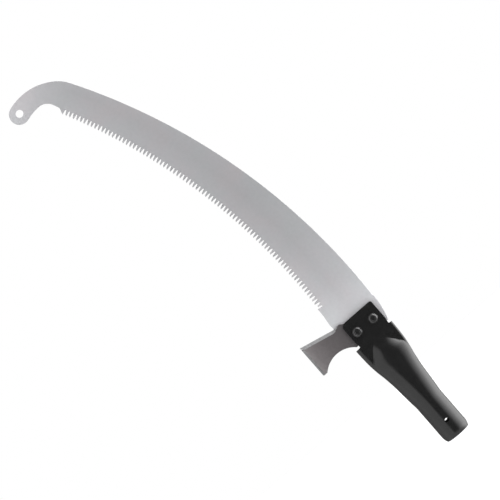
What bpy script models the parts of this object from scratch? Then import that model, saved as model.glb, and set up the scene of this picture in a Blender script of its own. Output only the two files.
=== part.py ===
"""Head of a telescoping pole saw: tube socket, hooked saw blade, undercut knife and their two bolted joints.

Frame: metres, +Z up. The origin is the centre of the socket's mouth, +Z runs along the socket towards the
blade, the blade lies in the XZ plane with its teeth towards -X, and the screw heads face -Y.
"""

import math

import bmesh
import bpy
from mathutils import Vector

MM = 0.001
GAP = 0.3 * MM                    # left between pieces that touch
MERGE_DISTANCE = 0.002 * MM

# Socket: a round tube whose upper end is pressed flat into two leaves
TUBE_RADIUS = 16 * MM
WALL = 2 * MM
MOUTH_HEIGHT = 8 * MM             # the tube is drawn in a little at its mouth
MOUTH_SHRINK = 2 * MM             # of the outer radius; the bore shrinks half as much
FIXING_HOLE_HEIGHT = 19.9 * MM    # cross hole for the screw that holds the pole
FIXING_HOLE_RADIUS = 2.5 * MM
SHOULDER_HEIGHT = 136.4 * MM      # top of the folded sides
LEAF_TOP = 168 * MM
LEAF_LEFT = -19.6 * MM
LEAF_RIGHT = 22 * MM
LEAF_CORNERS = {"left": 6 * MM, "right": 2.2 * MM}      # radius of each leaf's upper corners
NOTCH_HEIGHT = 3.4 * MM           # relief notches between the shoulder and the leaves
NOTCH_DEPTH = 0.7 * MM
NOTCH_FLARE = 8 * MM              # above it the leaves have their full width

# Clamped stack between the leaves, from front to back: knife, saw blade
KNIFE_THICKNESS = 3 * MM
BLADE_THICKNESS = 1.8 * MM
STACK = KNIFE_THICKNESS + BLADE_THICKNESS + 3 * GAP
LEAF_INNER = STACK / 2
LEAF_OUTER = LEAF_INNER + WALL
KNIFE_FRONT = -LEAF_INNER + GAP
BLADE_FRONT = KNIFE_FRONT + KNIFE_THICKNESS + GAP

# Socket sections: height, folds' half width, bulge half width, bulge half depth, bulge squareness (2 is an ellipse)
SECTIONS = [
    (46.5, 14.0, 16.0, 16.0, 2.0),
    (55.5, 14.8, 16.8, 15.8, 2.03),
    (68.5, 16.2, 17.9, 15.2, 2.1),
    (81.5, 18.0, 19.0, 14.5, 2.2),
    (94.5, 20.4, 20.7, 13.7, 2.25),
    (104.5, 22.5, 22.5, 12.9, 2.2),
    (112.5, 23.8, 22.7, 12.1, 2.1),
    (118.5, 24.3, 18.6, 9.9, 2.1),
    (124.5, 24.6, 15.7, 7.1, 2.1),
    (130.5, 24.8, 15.3, 5.35, 2.1),
    (136.5, 24.9, 15.3, 4.8, 2.1),
]
FLAT_HALF_WIDTH = 28 * MM         # above the shoulder the folds are cut away and the leaves are quite flat
FLAT_START = 137.5 * MM
FOLD_RADII = {"left": 4.4 * MM, "right": 2.7 * MM}      # outer corners of the folded sides
MOUTH_STEPS = 4                   # facets up the drawn-in mouth
LOFT_STEPS = 15                   # facets up the pressed part
QUADRANT_OUTER = 7                # facets from the folded side to the crease
QUADRANT_INNER = 8                # facets from the crease to the front or back centre line
LOWEST_CREASE = 0.42              # sweep angle of the crease column where the crease fades out
HIGHEST_CREASE = math.pi / 2 - 0.12

# Bolted joints
SCREW_HEIGHT = 151.6 * MM
SCREW_MIDDLE = 0.6 * MM
SCREW_SPACING = 22 * MM
SHANK_RADIUS = 3 * MM
SHANK_END = 20 * MM               # length under the head
CLEARANCE_RADIUS = SHANK_RADIUS + GAP
HEAD_RADIUS = 5.25 * MM
HEAD_HEIGHT = 3.3 * MM
HEAD_CROWN_RADIUS = 3.1 * MM      # flat ring around the hexagon socket
HEAD_SIDE_HEIGHT = 0.9 * MM       # straight side under the dome
HEAD_EDGE = 0.25 * MM             # broken edges of the head
SHANK_CHAMFER = 0.7 * MM
SOCKET_ACROSS_FLATS = 4 * MM
SOCKET_DEPTH = 2 * MM
WASHER_RADIUS = 6 * MM
WASHER_THICKNESS = 1.6 * MM
NUT_ACROSS_FLATS = 10 * MM
NUT_HEX_HEIGHT = 4.6 * MM
NUT_HEIGHT = 6 * MM
NUT_CHAMFER = 0.7 * MM            # on the corners at the washer, half as high as it is deep
COLLAR_RADIUS = 4.75 * MM
COLLAR_ROUND = 0.6 * MM
COLLAR_LIP = 0.35 * MM            # rolled over the plastic ring to keep it in
INSERT_RADIUS = 4.1 * MM
INSERT_THICKNESS = 1.1 * MM
TURNED_STEPS = 32

# Saw blade: the back edge and the line of the tooth tips are circles, centre (X, Z) and radius
BACK_CENTRE = Vector((-654.3, 203.0)) * MM
BACK_RADIUS = 682.8 * MM
HEEL_HEIGHT = 140 * MM
HEEL_ARC_TOP = 170.7 * MM         # below it the back edge curves in to the heel
HEEL_ARC_RADIUS = 95 * MM
HOOK_HEIGHT = 551.4 * MM          # where the back edge turns into the hook
HOOK_ARCS = [                     # radius in mm, turn in degrees, left turns positive
    (40.5, 23.5), (61.1, 54.4),               # over the top of the hook
    (10.9, 171.3), (40.0, 6.3),               # around the eye
    (55.7, -15.4), (13.9, -63.7), (87.5, -4.3), (6.3, -58.5),   # inside the hook to the first tooth
]
EYE_CENTRE = Vector((-129.1, 562.0)) * MM
EYE_RADIUS = 4.2 * MM
TIP_CENTRE = Vector((-694.5, 233.1)) * MM
TIP_RADIUS = 669.6 * MM
TOOTH_PITCH = 4.19 * MM           # about six teeth to the inch
TOOTH_COUNT = 83
FIRST_TIP_HEIGHT = 532.1 * MM
TOOTH_SHAPE = [(1.25, 5.0), (0.6, 1.4), (-0.65, 0.0), (-1.4, 5.0)]   # along the edge, depth below the tips
GULLET_CENTRE = (-2.17, 5.0)
GULLET_RADIUS = 0.77
LAST_TOOTH_DEPTH = 1.5 * MM       # the tooth next to the heel is a short one
HEEL_LEFT = [(-26.3, 197.1, 0.4), (-26.3, 187.7, 20), (-27.7, 176.7, 30), (-27.2, 156.7, 14),
             (-17, 140, 6)]      # X, Z, corner radius

# Undercut knife
KNIFE_NOTCH = [(-62.6, 139.7), (-42.0, 148.2), (-21.4, 139.7)]       # the concave edge passes through these
KNIFE_TANG = [(20, 139.7, 3), (20, 167, 3), (-15, 167, 3), (-20, 170.4, 3), (-23.3, 170.4, 2)]
KNIFE_EDGE_START = (-27.8, 169.6)
KNIFE_TIP = (-67.9, 178.2)
KNIFE_FOOT = (-67.9, 139.7)
EDGE_BEVEL_WIDTH = 3.4 * MM       # ground strip along the upper edge
EDGE_BEVEL_DEPTH = 2.4 * MM
END_BEVEL_WIDTH = 2.5 * MM        # narrow strip down the free end
END_BEVEL_DEPTH = 0.6 * MM


def clear_scene():
    for item in list(bpy.data.objects):
        bpy.data.objects.remove(item, do_unlink=True)


def new_collection(name):
    collection = bpy.data.collections.new(name)
    bpy.context.scene.collection.children.link(collection)
    return collection


def new_material(name, colour, roughness, metallic):
    material = bpy.data.materials.new(name)
    material.use_nodes = True
    shader = material.node_tree.nodes["Principled BSDF"]
    shader.inputs["Base Color"].default_value = (*colour, 1)
    shader.inputs["Roughness"].default_value = roughness
    shader.inputs["Metallic"].default_value = metallic
    return material


def add_object(name, data, collection, material=None):
    item = bpy.data.objects.new(name, data)
    collection.objects.link(item)
    if material and not data.materials:
        data.materials.append(material)
    return item


def shade(mesh, degrees=30):
    mesh.shade_smooth()
    mesh.set_sharp_from_angle(angle=math.radians(degrees))


def evaluated_mesh(item):
    """The item's shape with its modifiers, or a curve's as a mesh, in the item's own space."""
    bpy.context.view_layer.update()
    mesh = bpy.data.meshes.new_from_object(item.evaluated_get(bpy.context.evaluated_depsgraph_get()))
    mesh.name = item.data.name
    return mesh


def as_cutter(item):
    item.hide_render = True
    item.display_type = "WIRE"
    return item


def cut(item, cutter, operation="DIFFERENCE"):
    modifier = item.modifiers.new(cutter.name, "BOOLEAN")
    modifier.operation = operation
    modifier.object = cutter
    modifier.solver = "EXACT"


# Plane outlines, in X and Z

def arc_points(centre, radius, first, last, steps):
    """Points on a circle from the angle first to the angle last, both ends included."""
    angles = [first + (last - first) * i / steps for i in range(steps + 1)]
    return [centre + radius * Vector((math.cos(a), math.sin(a))) for a in angles]


def arc_chain(start, heading, arcs, facet=math.radians(5.5)):
    """Arcs, each (radius in mm, turn in degrees), that follow on without a kink; left turns are positive."""
    points, position = [], start
    for radius_mm, turn_degrees in arcs:
        radius, turn = radius_mm * MM, math.radians(turn_degrees)
        side = math.copysign(1, turn)
        centre = position + side * radius * Vector((-math.sin(heading), math.cos(heading)))
        first = heading - side * math.pi / 2
        steps = max(1, round(abs(turn) / facet))
        points += arc_points(centre, radius, first, first + turn, steps)[1:]
        position, heading = points[-1], heading + turn
    return points


def rounded(corners, closed=True, steps=4):
    """A polygon with each corner (X, Z, radius in mm) replaced by a tangent arc."""
    places = [Vector(corner[:2]) * MM for corner in corners]
    count, points = len(corners), []
    for i, (corner, place) in enumerate(zip(corners, places)):
        if corner[2] == 0 or (not closed and i in (0, count - 1)):
            points.append(place)
            continue
        back = (places[i - 1] - place).normalized()
        ahead = (places[(i + 1) % count] - place).normalized()
        half = back.angle(ahead) / 2
        radius = corner[2] * MM
        centre = place + (back + ahead).normalized() * radius / math.sin(half)
        first = place + back * radius / math.tan(half) - centre
        last = place + ahead * radius / math.tan(half) - centre
        points += [centre + radius * first.slerp(last, j / steps) for j in range(steps + 1)]
    return points


def arc_through(start, middle, end, steps):
    """Points on the circle through three points, without its two ends."""
    a, b, c = (Vector(p) * MM for p in (start, middle, end))
    d = 2 * (a.x * (b.y - c.y) + b.x * (c.y - a.y) + c.x * (a.y - b.y))
    squares = [p.length_squared for p in (a, b, c)]
    centre = Vector((
        (squares[0] * (b.y - c.y) + squares[1] * (c.y - a.y) + squares[2] * (a.y - b.y)) / d,
        (squares[0] * (c.x - b.x) + squares[1] * (a.x - c.x) + squares[2] * (b.x - a.x)) / d,
    ))
    first, last = (math.atan2(*(p - centre).yx) for p in (a, c))
    return arc_points(centre, (a - centre).length, first, last, steps)[1:-1]


def circle(centre, radius, steps):
    return arc_points(centre, radius, 0, math.tau, steps)[:-1]


def plate(name, loops, front, thickness, collection, material=None):
    """A flat piece: closed outlines in X and Z, the first one outside, with its front face at Y = front."""
    curve = bpy.data.curves.new(name, "CURVE")
    curve.dimensions = "2D"
    curve.fill_mode = "BOTH"
    curve.extrude = thickness / 2
    for loop in loops:
        spline = curve.splines.new("POLY")
        spline.points.add(len(loop) - 1)
        for point, place in zip(spline.points, loop):
            point.co = (place.x, place.y, 0, 1)
        spline.use_cyclic_u = True
    outline = add_object(name + "_outline", curve, collection)
    outline.location = (0, front + thickness / 2, 0)
    outline.rotation_euler = (math.radians(90), 0, 0)
    mesh = evaluated_mesh(outline)
    mesh.transform(outline.matrix_world)
    bpy.data.objects.remove(outline, do_unlink=True)
    bm = bmesh.new()
    bm.from_mesh(mesh)
    bmesh.ops.remove_doubles(bm, verts=bm.verts, dist=MERGE_DISTANCE)
    bmesh.ops.recalc_face_normals(bm, faces=bm.faces)
    bm.to_mesh(mesh)
    bm.free()
    return add_object(name, mesh, collection, material)


def turned(name, profile, collection, material=None, closed=False, steps=TURNED_STEPS):
    """A turned piece: (radius, height) points that run down the outer side, around the local Z axis."""
    mesh = bpy.data.meshes.new(name)
    edges = [(i, i + 1) for i in range(len(profile) - 1)]
    if closed:
        edges.append((len(profile) - 1, 0))
    mesh.from_pydata([(r, 0, z) for r, z in profile], edges, [])
    item = add_object(name, mesh, collection, material)
    screw = item.modifiers.new("Turn", "SCREW")
    screw.steps = screw.render_steps = steps
    screw.use_merge_vertices = True
    screw.merge_threshold = MERGE_DISTANCE
    item.data = evaluated_mesh(item)
    item.modifiers.clear()
    shade(item.data)
    return item


def cylinder(name, radius, length, collection, sides=TURNED_STEPS):
    mesh = bpy.data.meshes.new(name)
    bm = bmesh.new()
    bmesh.ops.create_cone(bm, cap_ends=True, segments=sides, radius1=radius, radius2=radius, depth=length)
    bm.to_mesh(mesh)
    bm.free()
    return add_object(name, mesh, collection)


# Socket

def section_at(height):
    """Half widths of the folds and of the bulge, its half depth and squareness, smooth between SECTIONS."""
    rows = [(row[0] * MM, row[1] * MM, row[2] * MM, row[3] * MM, row[4]) for row in SECTIONS]
    if height <= rows[0][0]:
        return rows[0][1:]
    if height >= FLAT_START:
        return (FLAT_HALF_WIDTH, *rows[-1][2:])
    k = max(i for i in range(len(rows) - 1) if rows[i][0] <= height)
    here, there = rows[k], rows[k + 1]
    before, after = rows[max(k - 1, 0)], rows[min(k + 2, len(rows) - 1)]
    span = there[0] - here[0]
    t = (height - here[0]) / span
    values = []
    for i in range(1, 5):
        leave = (there[i] - before[i]) / (there[0] - before[0]) if k > 0 else 0
        arrive = (after[i] - here[i]) / (after[0] - here[0]) if k < len(rows) - 2 else 0
        values.append((2 * t**3 - 3 * t**2 + 1) * here[i] + (t**3 - 2 * t**2 + t) * span * leave
                      + (3 * t**2 - 2 * t**3) * there[i] + (t**3 - t**2) * span * arrive)
    return tuple(values)


def bulge_reach(direction, half_width, half_depth, squareness):
    """Distance from the axis to a rounded section, along a unit direction."""
    total = (abs(direction.x) / half_width) ** squareness + (abs(direction.y) / half_depth) ** squareness
    return total ** (-1 / squareness)


def flat_reach(direction, half_width, half_depth, radius):
    """Distance from the axis to a flattened section: two flat leaves joined by folded sides."""
    x, y = abs(direction.x), abs(direction.y)
    straight_x, straight_y = half_width - radius, half_depth - radius
    if x * half_depth <= y * straight_x:
        return half_depth / y
    if y * half_width <= x * straight_y:
        return half_width / x
    along = straight_x * x + straight_y * y
    return along + math.sqrt(along**2 + radius**2 - straight_x**2 - straight_y**2)


def reaches(height, sweep, inset):
    half_width, bulge_width, bulge_depth, squareness = section_at(height)
    widest = max(half_width, bulge_width)
    direction = Vector((widest * math.cos(sweep), bulge_depth * math.sin(sweep))).normalized()
    bulge = bulge_reach(direction, bulge_width - inset, bulge_depth - inset, squareness)
    fold = FOLD_RADII["left" if direction.x < 0 else "right"] - inset
    flat = flat_reach(direction, half_width - inset, LEAF_OUTER - inset, fold)
    return direction, bulge, flat


def crease_sweep(height):
    """Sweep angle at which the bulge sinks into the flat leaf."""
    low, high = LOWEST_CREASE, math.pi / 2
    for _ in range(30):
        middle = (low + high) / 2
        _, bulge, flat = reaches(height, middle, 0)
        low, high = (low, middle) if bulge > flat else (middle, high)
    return min(low, HIGHEST_CREASE)


def section_ring(height, inset):
    """One closed ring of the socket's outer (inset 0) or inner (inset WALL) surface."""
    crease = crease_sweep(height)
    quadrant = [crease * i / QUADRANT_OUTER for i in range(QUADRANT_OUTER)]
    quadrant += [crease + (math.pi / 2 - crease) * i / QUADRANT_INNER for i in range(QUADRANT_INNER)]
    half = quadrant + [math.pi / 2] + [math.pi - s for s in reversed(quadrant[1:])]
    ring = []
    for sweep in half + [s + math.pi for s in half]:
        direction, bulge, flat = reaches(height, sweep, inset)
        reach = max(bulge, flat) - mouth_shrink(height, inset)
        ring.append(Vector((direction.x * reach, direction.y * reach, height)))
    return ring


def mouth_shrink(height, inset):
    """How much smaller the radius is near the mouth, at the outer (inset 0) or inner surface."""
    depth = MOUTH_SHRINK if inset == 0 else MOUTH_SHRINK / 2
    return depth * max(1 - height / MOUTH_HEIGHT, 0) ** 2


def socket_mesh():
    heights = [MOUTH_HEIGHT * i / MOUTH_STEPS for i in range(MOUTH_STEPS + 1)]
    first, last = SECTIONS[0][0] * MM, SECTIONS[-1][0] * MM
    heights += [first + (last - first) * i / LOFT_STEPS for i in range(LOFT_STEPS + 1)]
    heights += [FLAT_START, LEAF_TOP]
    bm = bmesh.new()
    shells = []
    for inset in (0, WALL):
        shells.append([[bm.verts.new(place) for place in section_ring(height, inset)] for height in heights])
    count = len(shells[0][0])
    for rings in shells:
        for below, above in zip(rings, rings[1:]):
            for i in range(count):
                j = (i + 1) % count
                bm.faces.new((below[i], below[j], above[j], above[i]))
    for level in (0, -1):
        outer, inner = shells[0][level], shells[1][level]
        for i in range(count):
            j = (i + 1) % count
            bm.faces.new((outer[i], outer[j], inner[j], inner[i]))
    bmesh.ops.recalc_face_normals(bm, faces=bm.faces)
    mesh = bpy.data.meshes.new("socket")
    bm.to_mesh(mesh)
    bm.free()
    shade(mesh)
    return mesh


def side_cutter(side, cutters):
    """A prism that frees the two leaves from the folded side and rounds their upper corner."""
    outward = -1 if side == "left" else 1
    edge = LEAF_LEFT if side == "left" else LEAF_RIGHT
    far, above = 40 * MM, LEAF_TOP + 9 * MM
    root = edge - outward * NOTCH_DEPTH
    corners = [
        (outward * far, SHOULDER_HEIGHT, 0),
        (edge + outward * 2 * NOTCH_DEPTH, SHOULDER_HEIGHT, 0),
        (root, SHOULDER_HEIGHT + NOTCH_DEPTH / 2, 0.8 * NOTCH_DEPTH),
        (root, SHOULDER_HEIGHT + NOTCH_HEIGHT, NOTCH_DEPTH),
        (edge, SHOULDER_HEIGHT + NOTCH_FLARE, 3 * NOTCH_DEPTH),
        (edge, LEAF_TOP, LEAF_CORNERS[side]),
        (0, LEAF_TOP, 0),
        (0, above, 0),
        (outward * far, above, 0),
    ]
    outline = rounded([(x / MM, z / MM, radius / MM) for x, z, radius in corners])
    return as_cutter(plate(side + "_side", [outline], -far, 2 * far, cutters))


def cross_hole(name, radius, x, height, cutters):
    hole = as_cutter(cylinder(name, radius, 4 * TUBE_RADIUS, cutters))
    hole.rotation_euler = (math.radians(90), 0, 0)
    hole.location = (x, 0, height)
    return hole


def build_socket(collection, cutters, material):
    socket = add_object("socket", socket_mesh(), collection, material)
    for side in FOLD_RADII:
        cut(socket, side_cutter(side, cutters))
    for side, x in screw_places():
        cut(socket, cross_hole("leaf_hole_" + side, CLEARANCE_RADIUS, x, SCREW_HEIGHT, cutters))
    cut(socket, cross_hole("fixing_hole", FIXING_HOLE_RADIUS, 0, FIXING_HOLE_HEIGHT, cutters))


# Blade and knife

def screw_places():
    return [("left", SCREW_MIDDLE - SCREW_SPACING / 2), ("right", SCREW_MIDDLE + SCREW_SPACING / 2)]


def screw_hole_loops():
    return [circle(Vector((x, SCREW_HEIGHT)), CLEARANCE_RADIUS, 24) for _, x in screw_places()]


def tooth_points(number):
    """One tooth and the gullet below it, walking from the hook to the heel along the circle of the tips."""
    first = math.asin((FIRST_TIP_HEIGHT - TIP_CENTRE.y) / TIP_RADIUS)
    angle = first - number * TOOTH_PITCH / TIP_RADIUS
    flank = [Vector(point) * MM for point in TOOTH_SHAPE]
    if number == 0:
        flank = flank[2:]                       # the inside of the hook is its upper flank
    if number == TOOTH_COUNT - 1:
        for point in flank:
            point.y = max(point.y, LAST_TOOTH_DEPTH)
    bottom = Vector(GULLET_CENTRE) * MM
    gullet = arc_points(bottom, GULLET_RADIUS * MM, math.radians(45), math.radians(135), 2)
    placed = []
    for point in flank + gullet:
        turn = angle + point.x / TIP_RADIUS
        reach = TIP_RADIUS + point.y
        placed.append(TIP_CENTRE + reach * Vector((math.cos(turn), math.sin(turn))))
    return placed


def blade_outline():
    heel_centre = BACK_CENTRE + Vector((BACK_RADIUS - HEEL_ARC_RADIUS, HEEL_ARC_TOP - BACK_CENTRE.y))
    heel_start = math.asin((HEEL_HEIGHT - heel_centre.y) / HEEL_ARC_RADIUS)
    points = arc_points(heel_centre, HEEL_ARC_RADIUS, heel_start, 0, 8)[:-1]
    start = math.asin((HEEL_ARC_TOP - BACK_CENTRE.y) / BACK_RADIUS)
    end = math.asin((HOOK_HEIGHT - BACK_CENTRE.y) / BACK_RADIUS)
    points += arc_points(BACK_CENTRE, BACK_RADIUS, start, end, 60)
    points += arc_chain(points[-1], end + math.pi / 2, HOOK_ARCS)
    for number in range(TOOTH_COUNT):
        points += tooth_points(number)
    return points + rounded(HEEL_LEFT + [(0, HEEL_HEIGHT / MM, 0)], closed=False)[:-1]


def build_blade(collection, material):
    loops = [blade_outline(), circle(EYE_CENTRE, EYE_RADIUS, 32)] + screw_hole_loops()
    blade = plate("saw_blade", loops, BLADE_FRONT, BLADE_THICKNESS, collection, material)
    shade(blade.data)


def bevel_cutter(name, start, end, width, depth, cutters):
    """A wedge that grinds a slope onto the knife's front face, inside the line from start to end."""
    start, end = Vector(start) * MM, Vector(end) * MM
    along = (end - start).normalized()
    inward = Vector((-along.y, along.x))
    start, end = start - along * 5 * MM, end + along * 5 * MM
    clear = 1 * MM
    profile = [(-inward * width, 2 * depth), (-inward * width, -clear),
               (inward * width * (1 + clear / depth), -clear)]
    bm = bmesh.new()
    rings = [[bm.verts.new((p.x + step.x, KNIFE_FRONT + y, p.y + step.y)) for step, y in profile]
             for p in (start, end)]
    for i in range(3):
        j = (i + 1) % 3
        bm.faces.new((rings[0][i], rings[0][j], rings[1][j], rings[1][i]))
    bm.faces.new(rings[0])
    bm.faces.new(rings[1])
    bmesh.ops.recalc_face_normals(bm, faces=bm.faces)
    mesh = bpy.data.meshes.new(name)
    bm.to_mesh(mesh)
    bm.free()
    return as_cutter(add_object(name, mesh, cutters))


def build_knife(collection, cutters, material):
    notch = [Vector(KNIFE_NOTCH[0]) * MM] + arc_through(*KNIFE_NOTCH, 16) + [Vector(KNIFE_NOTCH[2]) * MM]
    body = KNIFE_TANG + [(*KNIFE_EDGE_START, 4), (*KNIFE_TIP, 0.5), (*KNIFE_FOOT, 0.8)]
    loops = [notch + rounded(body)] + screw_hole_loops()
    knife = plate("undercut_knife", loops, KNIFE_FRONT, KNIFE_THICKNESS, collection, material)
    edge, end = (KNIFE_EDGE_START, KNIFE_TIP), (KNIFE_TIP, KNIFE_FOOT)
    cut(knife, bevel_cutter("edge_bevel", *edge, EDGE_BEVEL_WIDTH, EDGE_BEVEL_DEPTH, cutters))
    cut(knife, bevel_cutter("end_bevel", *end, END_BEVEL_WIDTH, END_BEVEL_DEPTH, cutters))


# Fasteners

def build_screws(collection, cutters, material):
    under = LEAF_OUTER + GAP
    top, end = under + HEAD_HEIGHT, under - SHANK_END
    rim = HEAD_RADIUS - HEAD_EDGE
    profile = [(0, top)]
    for degrees in range(0, 91, 15):
        turn = math.radians(degrees)
        profile.append((HEAD_CROWN_RADIUS + (rim - HEAD_CROWN_RADIUS) * math.sin(turn),
                        under + HEAD_SIDE_HEIGHT + (HEAD_HEIGHT - HEAD_SIDE_HEIGHT) * math.cos(turn)))
    profile += [
        (HEAD_RADIUS, under + HEAD_SIDE_HEIGHT - HEAD_EDGE), (HEAD_RADIUS, under + HEAD_EDGE),
        (rim, under), (SHANK_RADIUS, under),
        (SHANK_RADIUS, end + SHANK_CHAMFER), (SHANK_RADIUS - SHANK_CHAMFER, end), (0, end),
    ]
    corner = SOCKET_ACROSS_FLATS / math.sqrt(3)
    for side, x in screw_places():
        screw = turned("screw_" + side, profile, collection, material)
        screw.rotation_euler = (math.radians(90), 0, 0)
        screw.location = (x, 0, SCREW_HEIGHT)
        hexagon = as_cutter(cylinder("hexagon_" + side, corner, 2 * SOCKET_DEPTH, cutters, sides=6))
        hexagon.rotation_euler = (math.radians(90), 0, 0)
        hexagon.location = (x, -top, SCREW_HEIGHT)
        cut(screw, hexagon)


def ring_profile(outer, inner, low, high):
    return [(outer, high), (outer, low), (inner, low), (inner, high)]


def nut_profile(start, insert_start, insert_end):
    """Half section of the locking nut: hexagon corners, collar, bore and the seat of the plastic ring."""
    hex_end, end = start + NUT_HEX_HEIGHT, start + NUT_HEIGHT
    corner = NUT_ACROSS_FLATS / math.sqrt(3)
    seat = INSERT_RADIUS + GAP
    return [
        (COLLAR_RADIUS - COLLAR_ROUND, end), (COLLAR_RADIUS, end - COLLAR_ROUND), (COLLAR_RADIUS, hex_end),
        (corner, hex_end - NUT_CHAMFER / 2), (corner, start + NUT_CHAMFER / 2), (corner - NUT_CHAMFER, start),
        (CLEARANCE_RADIUS, start), (CLEARANCE_RADIUS, insert_start - GAP), (seat, insert_start - GAP),
        (seat, insert_end + GAP), (INSERT_RADIUS - COLLAR_LIP, end),
    ]


def build_nuts(collection, cutters):
    washer_start = LEAF_OUTER + GAP
    washer_end = washer_start + WASHER_THICKNESS
    start = washer_end + GAP
    insert_end = start + NUT_HEIGHT - COLLAR_LIP - GAP
    insert_start = insert_end - INSERT_THICKNESS
    sections = {
        "washer": ring_profile(WASHER_RADIUS, CLEARANCE_RADIUS, washer_start, washer_end),
        "nut": nut_profile(start, insert_start, insert_end),
        "nut_insert": ring_profile(INSERT_RADIUS, CLEARANCE_RADIUS, insert_start, insert_end),
    }
    colours = {"washer": (0.55, 0.56, 0.58), "nut": (0.5, 0.51, 0.53), "nut_insert": (0.62, 0.63, 0.6)}
    for side, x in screw_places():
        for kind, section in sections.items():
            name = kind + "_" + side
            metallic = 0.0 if kind == "nut_insert" else 1.0
            material = new_material(name, colours[kind], 0.35, metallic)
            piece = turned(name, section, collection, material, closed=True)
            piece.rotation_euler = (math.radians(-90), 0, 0)
            piece.location = (x, 0, SCREW_HEIGHT)
            if kind == "nut":
                corner = NUT_ACROSS_FLATS / math.sqrt(3)
                flats = cylinder("flats_" + side, corner, 4 * NUT_HEIGHT, cutters, sides=6)
                flats.rotation_euler = piece.rotation_euler
                flats.location = (x, start, SCREW_HEIGHT)
                cut(piece, as_cutter(flats), "INTERSECT")


def build():
    clear_scene()
    collection = new_collection("pole_saw_head")
    cutters = new_collection("cutters")
    build_socket(collection, cutters, new_material("socket", (0.012, 0.012, 0.013), 0.2, 0.0))
    build_blade(collection, new_material("saw_blade", (0.42, 0.43, 0.43), 0.38, 1.0))
    build_knife(collection, cutters, new_material("undercut_knife", (0.14, 0.125, 0.125), 0.4, 1.0))
    build_screws(collection, cutters, new_material("screws", (0.035, 0.035, 0.036), 0.35, 1.0))
    build_nuts(collection, cutters)


build()
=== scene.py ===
"""Looks of the pole saw head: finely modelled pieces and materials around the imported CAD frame.

Metres, +Z along the socket towards the blade, the screw heads face -Y, the teeth face -X.
"""

import math

import bmesh
import bpy
from mathutils import Matrix, Vector
from mathutils.geometry import tessellate_polygon


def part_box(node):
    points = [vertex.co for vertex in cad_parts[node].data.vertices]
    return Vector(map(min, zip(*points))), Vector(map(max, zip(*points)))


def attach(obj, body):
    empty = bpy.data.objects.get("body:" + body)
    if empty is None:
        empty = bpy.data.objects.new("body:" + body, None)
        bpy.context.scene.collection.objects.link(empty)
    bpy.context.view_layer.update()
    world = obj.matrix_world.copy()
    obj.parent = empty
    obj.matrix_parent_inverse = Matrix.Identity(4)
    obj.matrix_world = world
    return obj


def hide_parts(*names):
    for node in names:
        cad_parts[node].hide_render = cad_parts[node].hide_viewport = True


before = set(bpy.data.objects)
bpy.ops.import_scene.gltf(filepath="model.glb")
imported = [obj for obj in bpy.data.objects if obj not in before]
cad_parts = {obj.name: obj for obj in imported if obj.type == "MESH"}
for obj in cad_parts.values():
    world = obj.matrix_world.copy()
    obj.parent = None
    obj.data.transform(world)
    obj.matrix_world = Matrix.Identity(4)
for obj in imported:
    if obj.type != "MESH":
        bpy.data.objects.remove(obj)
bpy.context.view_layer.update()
MM = 0.001
MERGE_DISTANCE = 0.002 * MM
NEARLY_STRAIGHT = 0.25            # sine of the turn below which an outline's corner counts as straight

# Socket: a round tube whose upper end is pressed flat into two leaves
TUBE_RADIUS = 16 * MM
WALL = 2 * MM
MOUTH_HEIGHT = 8 * MM
MOUTH_SHRINK = 2 * MM
MOUTH_EDGE = 0.35 * MM            # rounding of the rim
FIXING_HOLE_HEIGHT = 19.9 * MM
FIXING_HOLE_RADIUS = 2.5 * MM
SHOULDER_HEIGHT = 136.4 * MM
LEAF_TOP = 168 * MM
LEAF_LEFT = -19.6 * MM
LEAF_RIGHT = 22 * MM
LEAF_CORNERS = {"left": 6 * MM, "right": 2.2 * MM}
LEAF_OUTER = 4.85 * MM
NOTCH_HEIGHT = 3.4 * MM
NOTCH_DEPTH = 0.7 * MM
NOTCH_FLARE = 8 * MM
FLAT_HALF_WIDTH = 28 * MM
FLAT_START = 137.5 * MM
FOLD_RADII = {"left": 4.4 * MM, "right": 2.7 * MM}
CREASE_FILLET = 0.5 * MM          # the bulge blends into the flat leaf over this difference in reach
LOWEST_CREASE = 0.3               # sweep angles between which the crease's column stays
HIGHEST_CREASE = math.pi / 2 - 0.12
SIDE_COLUMNS = 5                  # columns of one quarter of the section, up to the fold
FOLD_COLUMNS = 10
LEAF_COLUMNS = 9
BULGE_COLUMNS = 22
BULGE_GATHER = 1.5                # draws the bulge's columns together at the crease
SECTIONS = [                      # in mm: height, half widths of folds and bulge, half depth; squareness
    (46.5, 14.0, 16.0, 16.0, 2.0),
    (55.5, 14.8, 16.8, 15.8, 2.03),
    (68.5, 16.2, 17.9, 15.2, 2.1),
    (81.5, 18.0, 19.0, 14.5, 2.2),
    (94.5, 20.4, 20.7, 13.7, 2.25),
    (104.5, 22.5, 22.5, 12.9, 2.2),
    (112.5, 23.8, 22.7, 12.1, 2.1),
    (118.5, 24.3, 18.6, 9.9, 2.1),
    (124.5, 24.6, 15.7, 7.1, 2.1),
    (130.5, 24.8, 15.3, 5.35, 2.1),
    (136.5, 24.9, 15.3, 4.8, 2.1),
]

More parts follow.
